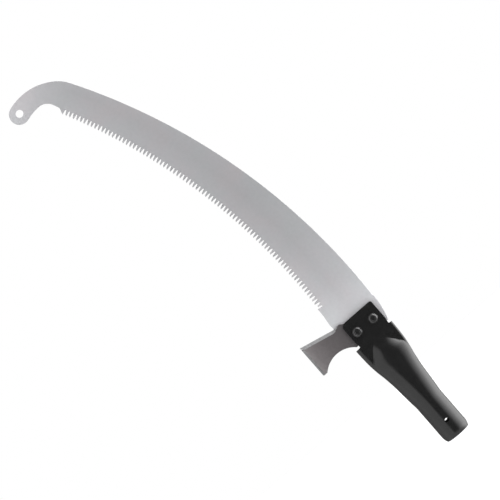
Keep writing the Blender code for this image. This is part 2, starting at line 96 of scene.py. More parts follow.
# Saw blade: circles of the back edge and of the tooth tips, hook arcs, eye, one tooth, heel
BACK_CENTRE = Vector((-654.3, 203.0)) * MM
BACK_RADIUS = 682.8 * MM
HEEL_HEIGHT = 140 * MM
HEEL_ARC_TOP = 170.7 * MM
HEEL_ARC_RADIUS = 95 * MM
HOOK_HEIGHT = 551.4 * MM
HOOK_ARCS = [(40.5, 23.5), (61.1, 54.4), (10.9, 171.3), (40.0, 6.3),
             (55.7, -15.4), (13.9, -63.7), (87.5, -4.3), (6.3, -58.5)]      # radius, turn in degrees
EYE_CENTRE = Vector((-129.1, 562.0)) * MM
EYE_RADIUS = 4.2 * MM
TIP_CENTRE = Vector((-694.5, 233.1)) * MM
TIP_RADIUS = 669.6 * MM
TOOTH_PITCH = 4.19 * MM
TOOTH_COUNT = 83
FIRST_TIP_HEIGHT = 532.1 * MM
TOOTH_SHAPE = [(1.4, 5.0), (0.75, 1.1), (-0.7, -0.15), (-1.45, 5.0)]   # mm along the edge, mm behind the tips
TOOTH_FACE = [(0.6, 5.1), (-0.1, 2.2), (-0.4, 2.0), (-0.85, 5.1)]      # what the grinding leaves of one face
GULLET_CENTRE = (-2.12, 5.2)      # in mm, as above
GULLET_RADIUS = 0.64
GULLET_ENDS = (math.radians(20), math.radians(160))
LAST_TOOTH_DEPTH = 1.5 * MM
HEEL_LEFT = [(-26.3, 197.1, 0.4), (-26.3, 187.7, 20), (-27.7, 176.7, 30), (-27.2, 156.7, 14), (-17, 140, 6)]
EDGE_BREAK = 0.12 * MM            # broken edges of the sheet pieces
TOOTH_EDGE = 0.05 * MM
EDGE_ON = 0.1                     # Y part of a face's normal: below this it is a cut edge of the sheet
FACE_ON = 0.99                    # and above this it lies in the sheet's plane

# Undercut knife: X, Z and, for a rounded corner, radius in mm
KNIFE_NOTCH = [(-62.6, 139.7), (-42.0, 148.2), (-21.4, 139.7)]
KNIFE_TANG = [(20, 139.7, 3), (20, 167, 3), (-15, 167, 3), (-20, 170.4, 3), (-23.3, 170.4, 2)]
KNIFE_EDGE_START = (-27.8, 169.6)
KNIFE_TIP = (-67.9, 178.2)
KNIFE_FOOT = (-67.9, 139.7)
EDGE_BEVEL_WIDTH = 3.4 * MM
EDGE_BEVEL_DEPTH = 2.4 * MM
END_BEVEL_WIDTH = 2.5 * MM
END_BEVEL_DEPTH = 0.6 * MM
BEVEL_RUN_OUT = 5 * MM            # the edge's grinding ends this far beyond its start
BEVEL_RISE = 8 * MM               # and has its full width this much further on
BEVEL_REACH = 10 * MM             # how far below the tip's height the edge's grinding is looked for
FOOT_CORNER = 0.8 * MM
SMALLEST_BEVEL_FACE = (0.25 * MM) ** 2
BEVEL_FACING = (0.2, 0.995)       # limits of the forward part of a ground face's normal

# Fasteners
CLEARANCE_RADIUS = 3.3 * MM       # of the holes that the two screws pass through
SHANK_RADIUS = 3 * MM
THREAD_PITCH = 1 * MM
THREAD_DEPTH = 0.55 * MM
THREAD_CREST = 1.25               # over 1, so that the crests are flat
THREAD_FLANK = 3.2                # fall of the flanks, from crest to root, per turn
HEAD_HEIGHT = 3.3 * MM
HEAD_CROWN_RADIUS = 3.1 * MM
HEAD_SIDE_HEIGHT = 0.9 * MM
HEAD_EDGE = 0.25 * MM
HEXAGON_ACROSS_FLATS = 4 * MM
HEXAGON_DEPTH = 2 * MM
HEXAGON_MARGIN = 0.06 * MM        # the recess is countersunk this far beyond its corners
SMOOTH_SHANK = 8 * MM             # the thread starts this far below the head
THREAD_END_CHAMFER = 0.7 * MM
NUT_ACROSS_FLATS = 10 * MM
NUT_HEX_HEIGHT = 4.6 * MM
NUT_CHAMFER = 0.7 * MM
NUT_BORE_CHAMFER = 0.4 * MM
COLLAR_RADIUS = 4.75 * MM
COLLAR_ROUND = 0.6 * MM
COLLAR_LIP = 0.35 * MM
COLLAR_FOOT = (0.3 * MM, 0.2 * MM)      # width and height of the step around it
COLLAR_EDGE = 0.1 * MM
INSERT_GAP = 0.3 * MM             # between the nylon ring and its seat in the nut
WASHER_EDGE = 0.2 * MM
INSERT_EDGE = 0.15 * MM


# Objects and meshes

def add_object(name, mesh):
    item = bpy.data.objects.new(name, mesh)
    bpy.context.scene.collection.objects.link(item)
    return item


def mesh_from(name, vertices, faces):
    mesh = bpy.data.meshes.new(name)
    mesh.from_pydata(vertices, [], faces)
    bm = bmesh.new()
    bm.from_mesh(mesh)
    bmesh.ops.remove_doubles(bm, verts=bm.verts, dist=MERGE_DISTANCE)
    bmesh.ops.dissolve_degenerate(bm, edges=bm.edges, dist=MERGE_DISTANCE / 4)
    bmesh.ops.recalc_face_normals(bm, faces=bm.faces)
    bm.to_mesh(mesh)
    bm.free()
    return mesh


def boolean(item, cutter, operation="DIFFERENCE"):
    """Applies a cut and removes the cutter."""
    modifier = item.modifiers.new(cutter.name, "BOOLEAN")
    modifier.operation = operation
    modifier.object = cutter
    modifier.solver = "EXACT"
    bake(item)
    bpy.data.objects.remove(cutter, do_unlink=True)


def bake(item):
    """Replaces the item's mesh by the result of its modifiers."""
    bpy.context.view_layer.update()
    mesh = bpy.data.meshes.new_from_object(item.evaluated_get(bpy.context.evaluated_depsgraph_get()))
    mesh.name = item.data.name
    item.modifiers.clear()
    item.data = mesh


def shade(item, degrees=32):
    """Smooth shading that keeps corners crisp and large faces flat."""
    item.data.shade_smooth()
    item.data.set_sharp_from_angle(angle=math.radians(degrees))
    weighted = item.modifiers.new("Weighted normals", "WEIGHTED_NORMAL")
    weighted.keep_sharp = True
    weighted.weight = 80


def finish_piece(item, node, materials):
    """Gives a piece its materials and lets it stand for its CAD node."""
    for material in materials:
        item.data.materials.append(material)
    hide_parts(node)
    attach(item, "root")


# Plane outlines, in X and Z

def arc_points(centre, radius, first, last, steps):
    angles = [first + (last - first) * i / steps for i in range(steps + 1)]
    return [centre + radius * Vector((math.cos(a), math.sin(a))) for a in angles]


def arc_chain(start, heading, arcs, facet=math.radians(2)):
    """Arcs, each (radius in mm, turn in degrees), that follow on without a kink; left turns are positive."""
    points, position = [], start
    for radius_mm, turn_degrees in arcs:
        radius, turn = radius_mm * MM, math.radians(turn_degrees)
        side = math.copysign(1, turn)
        centre = position + side * radius * Vector((-math.sin(heading), math.cos(heading)))
        first = heading - side * math.pi / 2
        steps = max(2, round(abs(turn) / facet))
        points += arc_points(centre, radius, first, first + turn, steps)[1:]
        position, heading = points[-1], heading + turn
    return points


def rounded(corners, closed=True, steps=10):
    """A polygon with each corner (X, Z, radius in mm) replaced by a tangent arc."""
    places = [Vector(corner[:2]) * MM for corner in corners]
    count, points = len(corners), []
    for i, (corner, place) in enumerate(zip(corners, places)):
        if corner[2] == 0 or (not closed and i in (0, count - 1)):
            points.append(place)
            continue
        back = (places[i - 1] - place).normalized()
        ahead = (places[(i + 1) % count] - place).normalized()
        half = back.angle(ahead) / 2
        radius = corner[2] * MM
        centre = place + (back + ahead).normalized() * radius / math.sin(half)
        first = place + back * radius / math.tan(half) - centre
        last = place + ahead * radius / math.tan(half) - centre
        points += [centre + radius * first.slerp(last, j / steps) for j in range(steps + 1)]
    return points


def arc_through(start, middle, end, steps):
    """Points on the circle through three points, with its two ends."""
    a, b, c = (Vector(p) * MM for p in (start, middle, end))
    d = 2 * (a.x * (b.y - c.y) + b.x * (c.y - a.y) + c.x * (a.y - b.y))
    squares = [p.length_squared for p in (a, b, c)]
    centre = Vector((
        (squares[0] * (b.y - c.y) + squares[1] * (c.y - a.y) + squares[2] * (a.y - b.y)) / d,
        (squares[0] * (c.x - b.x) + squares[1] * (a.x - c.x) + squares[2] * (b.x - a.x)) / d,
    ))
    first, last = (math.atan2(*(p - centre).yx) for p in (a, c))
    return arc_points(centre, (a - centre).length, first, last, steps)


def outward(before, place, after):
    """Outward normals of the two edges that meet at a point of a counter-clockwise outline."""
    normals = []
    for step in (place - before, after - place):
        step = step.normalized()
        normals.append(Vector((step.y, -step.x)))
    return normals


def inset_point(before, place, after, first_width, second_width):
    """The point moved inwards by one width from the edge before it and by another from the edge after it."""
    one, two = outward(before, place, after)
    cross = one.x * two.y - one.y * two.x
    if abs(cross) < NEARLY_STRAIGHT:
        middle = (one + two).normalized()
        return place - middle * (first_width + second_width) / (one + two).length
    return place - Vector((first_width * two.y - second_width * one.y,
                           second_width * one.x - first_width * two.x)) / cross


def inset_outline(points, widths):
    """The outline moved inwards; widths[i] belongs to the edge from point i to the next."""
    count = len(points)
    return [inset_point(points[i - 1], points[i], points[(i + 1) % count], widths[i - 1], widths[i])
            for i in range(count)]


class Plate:
    """A flat piece, from outlines of its front face, its outer edge and its back face, and round holes."""

    def __init__(self, front, back):
        self.front, self.back = front, back
        self.vertices, self.faces = [], []
        self.caps = {0: [], -1: []}

    def ring(self, points, depths):
        first = len(self.vertices)
        self.vertices += [(p.x, self.front + depth, p.y) for p, depth in zip(points, depths)]
        return list(range(first, len(self.vertices)))

    def outline(self, edge, front_points, front_drops, back_points, back_drops):
        count, thickness = len(edge), self.back - self.front
        rings = [
            self.ring(front_points, [0] * count),
            self.ring(edge, front_drops),
            self.ring(edge, [thickness - drop for drop in back_drops]),
            self.ring(back_points, [thickness] * count),
        ]
        for near, far in zip(rings, rings[1:]):
            for i in range(count):
                j = (i + 1) % count
                self.faces.append((near[i], near[j], far[j], far[i]))
        self.caps[0].append(rings[0])
        self.caps[-1].append(rings[-1])

    def plain_outline(self, edge, width=EDGE_BREAK):
        count = len(edge)
        inner = inset_outline(edge, [width] * count)
        self.outline(edge, inner, [width] * count, inner, [width] * count)

    def hole(self, centre, radius, steps=64):
        self.plain_outline(arc_points(centre, radius, math.tau, 0, steps)[:-1])

    def mesh(self, name):
        flattened = [Vector((x, z, 0)) for x, _, z in self.vertices]
        for loops in self.caps.values():
            indices = [index for loop in loops for index in loop]
            polygons = [[flattened[index] for index in loop] for loop in loops]
            self.faces += [tuple(indices[i] for i in triangle) for triangle in tessellate_polygon(polygons)]
        return mesh_from(name, self.vertices, self.faces)


# Socket

def section_at(height):
    """Half widths of the folds and of the bulge, its half depth and squareness, smooth between SECTIONS."""
    rows = [(row[0] * MM, row[1] * MM, row[2] * MM, row[3] * MM, row[4]) for row in SECTIONS]
    if height <= rows[0][0]:
        return rows[0][1:]
    if height >= FLAT_START:
        return (FLAT_HALF_WIDTH, *rows[-1][2:])
    k = max(i for i in range(len(rows) - 1) if rows[i][0] <= height)
    here, there = rows[k], rows[k + 1]
    before, after = rows[max(k - 1, 0)], rows[min(k + 2, len(rows) - 1)]
    span = there[0] - here[0]
    t = (height - here[0]) / span
    values = []
    for i in range(1, 5):
        leave = (there[i] - before[i]) / (there[0] - before[0]) if k > 0 else 0
        arrive = (after[i] - here[i]) / (after[0] - here[0]) if k < len(rows) - 2 else 0
        values.append((2 * t**3 - 3 * t**2 + 1) * here[i] + (t**3 - 2 * t**2 + t) * span * leave
                      + (3 * t**2 - 2 * t**3) * there[i] + (t**3 - t**2) * span * arrive)
    return tuple(values)


def bulge_reach(direction, half_width, half_depth, squareness):
    total = (abs(direction.x) / half_width) ** squareness + (abs(direction.y) / half_depth) ** squareness
    return total ** (-1 / squareness)


def flat_reach(direction, half_width, half_depth, radius):
    """Reach of a flattened section: two flat leaves joined by folded sides."""
    x, y = abs(direction.x), abs(direction.y)
    straight_x, straight_y = half_width - radius, half_depth - radius
    if x * half_depth <= y * straight_x:
        return half_depth / y
    if y * half_width <= x * straight_y:
        return half_width / x
    along = straight_x * x + straight_y * y
    return along + math.sqrt(along**2 + radius**2 - straight_x**2 - straight_y**2)


def reaches(section, sweep, inset):
    half_width, bulge_width, bulge_depth, squareness = section
    widest = max(half_width, bulge_width)
    direction = Vector((widest * math.cos(sweep), bulge_depth * math.sin(sweep))).normalized()
    bulge = bulge_reach(direction, bulge_width - inset, bulge_depth - inset, squareness)
    fold = FOLD_RADII["left" if direction.x < 0 else "right"] - inset
    flat = flat_reach(direction, half_width - inset, LEAF_OUTER - inset, fold)
    return direction, bulge, flat


def crease_sweep(section):
    """Sweep angle at which the bulge sinks into the flat leaf."""
    low, high = LOWEST_CREASE, math.pi / 2
    for _ in range(30):
        middle = (low + high) / 2
        _, bulge, flat = reaches(section, middle, 0)
        low, high = (low, middle) if bulge > flat else (middle, high)
    return min(low, HIGHEST_CREASE)


def blended(one, two):
    """The larger of two reaches, with a fillet where they meet."""
    overlap = max(CREASE_FILLET - abs(one - two), 0)
    return max(one, two) + overlap**2 / (4 * CREASE_FILLET)


def mouth_shrink(height, inset):
    """How much smaller the radius is near the mouth, at the outer (inset 0) or inner surface."""
    depth = MOUTH_SHRINK if inset == 0 else MOUTH_SHRINK / 2
    shrink = depth * max(1 - height / MOUTH_HEIGHT, 0) ** 2
    rise = max(1 - height / MOUTH_EDGE, 0)
    edge = MOUTH_EDGE * (1 - math.sqrt(1 - rise**2))
    return shrink + edge if inset == 0 else shrink - edge


def fold_sweeps(section, side):
    """Sweep angles of the two ends of a fold's rounded corner."""
    half_width, bulge_width, bulge_depth, _ = section
    widest, radius = max(half_width, bulge_width), FOLD_RADII[side]
    places = [(half_width, LEAF_OUTER - radius), (half_width - radius, LEAF_OUTER)]
    return [math.atan2(y / bulge_depth, x / widest) for x, y in places]


def section_ring(height, inset):
    """One closed ring of the socket: columns up the side, the fold's corner, the leaf and the bulge."""
    section = section_at(height)
    crease = crease_sweep(section)
    quadrants = {}
    for side in FOLD_RADII:
        corner_start, corner_end = fold_sweeps(section, side)
        corner_end = min(corner_end, 0.9 * crease)              # the columns keep their order
        corner_start = min(corner_start, 0.6 * corner_end)      # where the bulge covers the fold
        sweeps = []
        for first, last, columns in (
            (0, corner_start, SIDE_COLUMNS),
            (corner_start, corner_end, FOLD_COLUMNS),
            (corner_end, crease, LEAF_COLUMNS),
        ):
            sweeps += [first + (last - first) * i / columns for i in range(columns)]
        bulge = math.pi / 2 - crease
        sweeps += [crease + bulge * (i / BULGE_COLUMNS) ** BULGE_GATHER for i in range(BULGE_COLUMNS)]
        quadrants[side] = sweeps
    around = quadrants["right"] + [math.pi / 2] + [math.pi - s for s in reversed(quadrants["left"])]
    around += [math.pi + s for s in quadrants["left"][1:]] + [math.pi * 1.5]
    around += [math.tau - s for s in reversed(quadrants["right"][1:])]
    ring = []
    for sweep in around:
        direction, bulge, flat = reaches(section, sweep, inset)
        reach = blended(bulge, flat) - mouth_shrink(height, inset)
        ring.append((direction.x * reach, direction.y * reach, height))
    return ring


def socket_heights(edge_steps=5, mouth_steps=16, tube_steps=6, press_steps=110):
    heights = [MOUTH_EDGE * (1 - math.cos(math.pi / 2 * i / edge_steps)) for i in range(edge_steps)]
    heights += [MOUTH_EDGE + (MOUTH_HEIGHT - MOUTH_EDGE) * i / mouth_steps for i in range(mouth_steps + 1)]
    start, end = SECTIONS[0][0] * MM, SECTIONS[-1][0] * MM
    heights += [MOUTH_HEIGHT + (start - MOUTH_HEIGHT) * i / tube_steps for i in range(1, tube_steps)]
    heights += [start + (end - start) * i / press_steps for i in range(press_steps + 1)]
    return heights + [FLAT_START, LEAF_TOP]


def socket_mesh():
    heights = socket_heights()
    vertices, faces, shells = [], [], []
    for inset in (0, WALL):
        rings = []
        for height in heights:
            ring = section_ring(height, inset)
            rings.append(range(len(vertices), len(vertices) + len(ring)))
            vertices += ring
        shells.append(rings)
    count = len(shells[0][0])
    pairs = [(below, above) for rings in shells for below, above in zip(rings, rings[1:])]
    pairs += [(shells[0][0], shells[1][0]), (shells[0][-1], shells[1][-1])]
    for one, two in pairs:
        faces += [(one[i], one[(i + 1) % count], two[(i + 1) % count], two[i]) for i in range(count)]
    return mesh_from("painted_socket", vertices, faces)


def prism(name, outline, depth):
    """A cutter with a closed outline in X and Z, from -depth to depth along Y."""
    count = len(outline)
    vertices = [(p.x, y, p.y) for y in (-depth, depth) for p in outline]
    faces = [(i, (i + 1) % count, (i + 1) % count + count, i + count) for i in range(count)]
    faces += [tuple(range(count)), tuple(range(count, 2 * count))]
    return add_object(name, mesh_from(name, vertices, faces))


def side_cutter(side):
    """A prism that frees the two leaves from the folded side and rounds their upper corner."""
    out = -1 if side == "left" else 1
    edge = LEAF_LEFT if side == "left" else LEAF_RIGHT
    far, above = 40 * MM, LEAF_TOP + 9 * MM
    root = edge - out * NOTCH_DEPTH
    corners = [
        (out * far, SHOULDER_HEIGHT, 0),
        (edge + out * 2 * NOTCH_DEPTH, SHOULDER_HEIGHT, 0),
        (root, SHOULDER_HEIGHT + NOTCH_DEPTH / 2, 0.8 * NOTCH_DEPTH),
        (root, SHOULDER_HEIGHT + NOTCH_HEIGHT, NOTCH_DEPTH),
        (edge, SHOULDER_HEIGHT + NOTCH_FLARE, 3 * NOTCH_DEPTH),
        (edge, LEAF_TOP, LEAF_CORNERS[side]),
        (0, LEAF_TOP, 0),
        (0, above, 0),
        (out * far, above, 0),
    ]
    return prism(side + "_side", rounded([(x / MM, z / MM, r / MM) for x, z, r in corners]), far)


def cross_hole(name, radius, x, height):
    circle = arc_points(Vector((0, 0)), radius, 0, math.tau, steps=48)[:-1]
    hole = prism(name, circle, 4 * TUBE_RADIUS)
    hole.location = (x, 0, height)
    return hole


def build_socket(material):
    socket = add_object("painted_socket", socket_mesh())
    for side in ("left", "right"):
        boolean(socket, side_cutter(side))
        x, z = screw_axis(side)
        boolean(socket, cross_hole(side + "_leaf_hole", CLEARANCE_RADIUS, x, z))
    boolean(socket, cross_hole("fixing_hole", FIXING_HOLE_RADIUS, 0, FIXING_HOLE_HEIGHT))
    shade(socket)
    finish_piece(socket, "socket", [material])


# Blade

def tooth_rows(number):
    """One tooth and the gullet below it: full outline points, and the same points on the ground face."""
    first = math.asin((FIRST_TIP_HEIGHT - TIP_CENTRE.y) / TIP_RADIUS)
    angle = first - number * TOOTH_PITCH / TIP_RADIUS
    rows = [(Vector(full) * MM, Vector(ground) * MM) for full, ground in zip(TOOTH_SHAPE, TOOTH_FACE)]
    if number == 0:
        rows = rows[2:]                       # the inside of the hook is its upper flank
    if number == TOOTH_COUNT - 1:
        for full, _ in rows:
            full.y = max(full.y, LAST_TOOTH_DEPTH)
    bottom = Vector(GULLET_CENTRE) * MM
    rows += [(place, None) for place in arc_points(bottom, GULLET_RADIUS * MM, *GULLET_ENDS, steps=8)]

    def placed(point):
        turn = angle + point.x / TIP_RADIUS
        return TIP_CENTRE + (TIP_RADIUS + point.y) * Vector((math.cos(turn), math.sin(turn)))

    return [(placed(full), placed(ground) if ground else None) for full, ground in rows]


def blade_edge():
    """Outline points with, for each, its place on the ground face of a tooth and the side that is ground."""
    heel_centre = BACK_CENTRE + Vector((BACK_RADIUS - HEEL_ARC_RADIUS, HEEL_ARC_TOP - BACK_CENTRE.y))
    heel_start = math.asin((HEEL_HEIGHT - heel_centre.y) / HEEL_ARC_RADIUS)
    points = arc_points(heel_centre, HEEL_ARC_RADIUS, heel_start, 0, steps=24)[:-1]
    start = math.asin((HEEL_ARC_TOP - BACK_CENTRE.y) / BACK_RADIUS)
    end = math.asin((HOOK_HEIGHT - BACK_CENTRE.y) / BACK_RADIUS)
    points += arc_points(BACK_CENTRE, BACK_RADIUS, start, end, steps=160)
    points += arc_chain(points[-1], end + math.pi / 2, HOOK_ARCS)
    rows = [(point, None, None) for point in points]
    for number in range(TOOTH_COUNT):
        side = "front" if number % 2 else "back"
        rows += [(full, ground, side) for full, ground in tooth_rows(number)]
    heel = rounded(HEEL_LEFT + [(0, HEEL_HEIGHT / MM, 0)], closed=False)[:-1]
    return rows + [(point, None, None) for point in heel]


def build_blade(satin, hardened, sheared):
    low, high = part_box("saw_blade")
    plate = Plate(low.y, high.y)
    thickness = high.y - low.y
    rows = blade_edge()
    edge = [row[0] for row in rows]
    plain = inset_outline(edge, [EDGE_BREAK] * len(edge))
    fine = inset_outline(edge, [TOOTH_EDGE] * len(edge))
    faces = {"front": [], "back": []}
    drops = {"front": [], "back": []}
    for (_, ground, side), broken, crisp in zip(rows, plain, fine):
        for face in ("front", "back"):
            if side is None or ground is None:
                faces[face].append(broken)
                drops[face].append(EDGE_BREAK)
            elif side == face:
                faces[face].append(ground)
                drops[face].append(thickness - 2 * TOOTH_EDGE)
            else:
                faces[face].append(crisp)
                drops[face].append(TOOTH_EDGE)
    plate.outline(edge, faces["front"], drops["front"], faces["back"], drops["back"])
    plate.hole(EYE_CENTRE, EYE_RADIUS)
    for side in ("left", "right"):
        plate.hole(Vector(screw_axis(side)), CLEARANCE_RADIUS)
    blade = add_object("toothed_blade", plate.mesh("toothed_blade"))
    shade(blade)
    finish_piece(blade, "saw_blade", [satin, hardened, sheared])
    for polygon in blade.data.polygons:
        reach = (Vector(polygon.center.xz) - TIP_CENTRE).length - TIP_RADIUS
        toothed = FIRST_TIP_HEIGHT > polygon.center.z > HEEL_LEFT[0][1] * MM
        facing = abs(polygon.normal.y)
        if facing < EDGE_ON:
            polygon.material_index = 2
        elif facing < FACE_ON and toothed and reach < TOOTH_SHAPE[0][1] * MM:
            polygon.material_index = 1


# Knife

def knife_edge():
    """Outline points, each with the width and depth of the grinding on the edge that follows it."""
    fine = (EDGE_BREAK, EDGE_BREAK)
    steps = 40
    rows = [(p, *fine) for p in arc_through(*KNIFE_NOTCH, steps)]
    start, tip, foot = (Vector(p) * MM for p in (KNIFE_EDGE_START, KNIFE_TIP, KNIFE_FOOT))
    body = rounded(KNIFE_TANG + [(*KNIFE_EDGE_START, 4), (*KNIFE_TIP, 0)])
    along = (tip - start).normalized()
    for place in body[:-1]:
        share = 0
        if place.y > tip.y - BEVEL_REACH:
            share = min(max((start.x + BEVEL_RUN_OUT - place.x) / BEVEL_RISE, 0), 1) ** 0.5
        width = max(share * EDGE_BEVEL_WIDTH, EDGE_BREAK)
        depth = max(share * EDGE_BEVEL_DEPTH, EDGE_BREAK)
        rows.append((place, width, depth))
    last = rows[-1][0]
    for i in range(1, steps):
        rows.append((last + (tip - last) * i / steps, EDGE_BEVEL_WIDTH, EDGE_BEVEL_DEPTH))
    rows.append((tip, END_BEVEL_WIDTH, EDGE_BEVEL_DEPTH))
    down = EDGE_BEVEL_WIDTH * (1 - END_BEVEL_DEPTH / EDGE_BEVEL_DEPTH)
    rows.append((tip - Vector((0, down / abs(along.x))), END_BEVEL_WIDTH, END_BEVEL_DEPTH))
    rows.append((foot + Vector((0, FOOT_CORNER)), END_BEVEL_WIDTH, END_BEVEL_DEPTH))
    rows.append((foot + Vector((FOOT_CORNER, 0)), *fine))
    return rows


def build_knife(body, ground):
    low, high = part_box("undercut_knife")
    plate = Plate(low.y, high.y)
    rows = knife_edge()
    edge = [row[0] for row in rows]
    face = inset_outline(edge, [row[1] for row in rows])
    back = inset_outline(edge, [EDGE_BREAK] * len(edge))
    plate.outline(edge, face, [row[2] for row in rows], back, [EDGE_BREAK] * len(edge))
    for side in ("left", "right"):
        plate.hole(Vector(screw_axis(side)), CLEARANCE_RADIUS)
    knife = add_object("ground_knife", plate.mesh("ground_knife"))
    shade(knife, 12)
    finish_piece(knife, "undercut_knife", [body, ground])
    bevels_end = KNIFE_EDGE_START[0] * MM + BEVEL_RUN_OUT + 1 * MM
    for polygon in knife.data.polygons:
        slanted = BEVEL_FACING[0] < -polygon.normal.y < BEVEL_FACING[1] and polygon.area > SMALLEST_BEVEL_FACE
        polygon.material_index = 1 if slanted and polygon.center.x < bevels_end else 0


# Fasteners

def screw_axis(side):
    low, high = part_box("screw_" + side)
    middle = (low + high) / 2
    return middle.x, middle.z


def turned_mesh(name, profile, axis, steps=96, closed=False):
    """A turned piece around the Y axis through (X, Z): (radius, y) points, or functions of the turn."""
    vertices, faces, rings = [], [], []
    for radius, y in profile:
        ring = []
        for i in range(steps):
            turn = math.tau * i / steps
            reach, depth = (value(turn) if callable(value) else value for value in (radius, y))
            ring.append(len(vertices))
            vertices.append((axis[0] + reach * math.cos(turn), depth, axis[1] + reach * math.sin(turn)))
        rings.append(ring)
    pairs = list(zip(rings, rings[1:]))
    if closed:
        pairs.append((rings[-1], rings[0]))
    for one, two in pairs:
        faces += [(one[i], one[(i + 1) % steps], two[(i + 1) % steps], two[i]) for i in range(steps)]
    return mesh_from(name, vertices, faces)


def thread_reach(y, end):
    """Radius of a screw thread at y, which is cut off by a chamfer at the screw's end."""
    def reach(turn):
        phase = (y / THREAD_PITCH - turn / math.tau) % 1
        crest = min(max(THREAD_CREST - abs(phase - 0.5) * THREAD_FLANK, 0), 1)
        thread = SHANK_RADIUS - THREAD_DEPTH * (1 - crest)
        return min(thread, SHANK_RADIUS - THREAD_END_CHAMFER + max(end - y, 0))
    return reach


def build_screw(side, material):
    axis = screw_axis(side)
    low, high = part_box("screw_" + side)
    head_radius = (high.x - low.x) / 2
    top, end = low.y, high.y
    under = top + HEAD_HEIGHT
    rim = head_radius - HEAD_EDGE
    flats = HEXAGON_ACROSS_FLATS / 2
    mouth = flats / math.cos(math.pi / 6) + HEXAGON_MARGIN

    def hexagon(turn):
        return flats / math.cos(turn % (math.pi / 3) - math.pi / 6)

    def chamfer_end(turn):
        return top + mouth - hexagon(turn)

    floor = top + HEXAGON_DEPTH
    drill_point = floor + flats / 8
    profile = [(0, drill_point), (hexagon, floor), (hexagon, chamfer_end), (mouth, top)]
    steps = 16
    for i in range(steps + 1):
        turn = math.pi / 2 * i / steps
        profile.append((HEAD_CROWN_RADIUS + (rim - HEAD_CROWN_RADIUS) * math.sin(turn),
                        under - HEAD_SIDE_HEIGHT - (HEAD_HEIGHT - HEAD_SIDE_HEIGHT) * math.cos(turn)))
    profile += [(head_radius, under - HEAD_SIDE_HEIGHT + HEAD_EDGE), (head_radius, under - HEAD_EDGE),
                (rim, under), (SHANK_RADIUS, under)]
    thread_start = under + SMOOTH_SHANK
    profile.append((SHANK_RADIUS, thread_start))
    rings_per_turn = 14
    rings = round((end - thread_start) / THREAD_PITCH * rings_per_turn)
    for i in range(1, rings + 1):
        y = thread_start + (end - thread_start) * i / rings
        profile.append((thread_reach(y, end), y))
    profile.append((0, end))
    name = side + "_button_screw"
    screw = add_object(name, turned_mesh(name, profile, axis))
    shade(screw)
    finish_piece(screw, "screw_" + side, [material])


def build_washer(side, material):
    low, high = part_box("washer_" + side)
    radius, edge = (high.x - low.x) / 2, WASHER_EDGE
    profile = [
        (radius - edge, low.y), (radius, low.y + edge), (radius, high.y - edge), (radius - edge, high.y),
        (CLEARANCE_RADIUS + edge, high.y), (CLEARANCE_RADIUS, high.y - edge),
        (CLEARANCE_RADIUS, low.y + edge), (CLEARANCE_RADIUS + edge, low.y),
    ]
    name = side + "_flat_washer"
    washer = add_object(name, turned_mesh(name, profile, screw_axis(side), closed=True))
    shade(washer)
    finish_piece(washer, "washer_" + side, [material])


def build_nut(side, material):
    low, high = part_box("nut_" + side)
    insert_low, insert_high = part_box("nut_insert_" + side)
    start, end = low.y, high.y
    hex_end = start + NUT_HEX_HEIGHT
    corner = NUT_ACROSS_FLATS / math.sqrt(3)
    insert_radius = (insert_high.x - insert_low.x) / 2
    seat = insert_radius + INSERT_GAP
    seat_start, seat_end = insert_low.y - INSERT_GAP, insert_high.y + INSERT_GAP
    lip = insert_radius - COLLAR_LIP
    profile = [
        (corner - NUT_CHAMFER, start),
        (corner, start + NUT_CHAMFER / 2),
        (corner, hex_end - NUT_CHAMFER / 2),
        (COLLAR_RADIUS + COLLAR_FOOT[0], hex_end),
        (COLLAR_RADIUS, hex_end + COLLAR_FOOT[1]),
    ]
    steps = 8
    for i in range(steps + 1):
        turn = math.pi / 2 * i / steps
        profile.append((COLLAR_RADIUS - COLLAR_ROUND * (1 - math.cos(turn)),
                        end - COLLAR_ROUND * (1 - math.sin(turn))))
    profile += [
        (lip + COLLAR_EDGE, end),
        (lip, end - COLLAR_EDGE),
        (seat, seat_end),
        (seat, seat_start),
        (CLEARANCE_RADIUS, seat_start),
        (CLEARANCE_RADIUS, start + NUT_BORE_CHAMFER),
        (CLEARANCE_RADIUS + NUT_BORE_CHAMFER, start),
    ]
    name = side + "_locking_nut"
    axis = screw_axis(side)
    nut = add_object(name, turned_mesh(name, profile, axis, closed=True))
    below, above = start - 1 * MM, end + 1 * MM
    flats = turned_mesh("flats", [(0, below), (corner, below), (corner, above), (0, above)], axis, steps=6)
    boolean(nut, add_object("flats", flats), "INTERSECT")
    shade(nut)
    finish_piece(nut, "nut_" + side, [material])


def build_insert(side, material):
    low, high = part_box("nut_insert_" + side)
    radius, edge = (high.x - low.x) / 2, INSERT_EDGE
    profile = [
        (radius - edge, low.y), (radius, low.y + edge), (radius, high.y - edge), (radius - edge, high.y),
        (CLEARANCE_RADIUS + edge, high.y), (CLEARANCE_RADIUS, high.y - edge), (CLEARANCE_RADIUS, low.y),
    ]
    name = side + "_nylon_ring"
    ring = add_object(name, turned_mesh(name, profile, screw_axis(side), closed=True))
    shade(ring)
    finish_piece(ring, "nut_insert_" + side, [material])


# Materials

def add_node(tree, kind, inputs, **settings):
    """A shader node whose inputs are linked to other nodes' sockets or set to values."""
    node = tree.nodes.new(kind)
    for setting, value in settings.items():
        setattr(node, setting, value)
    for key, value in inputs.items():
        if isinstance(value, bpy.types.NodeSocket):
            tree.links.new(value, node.inputs[key])
        else:
            node.inputs[key].default_value = value
    return node


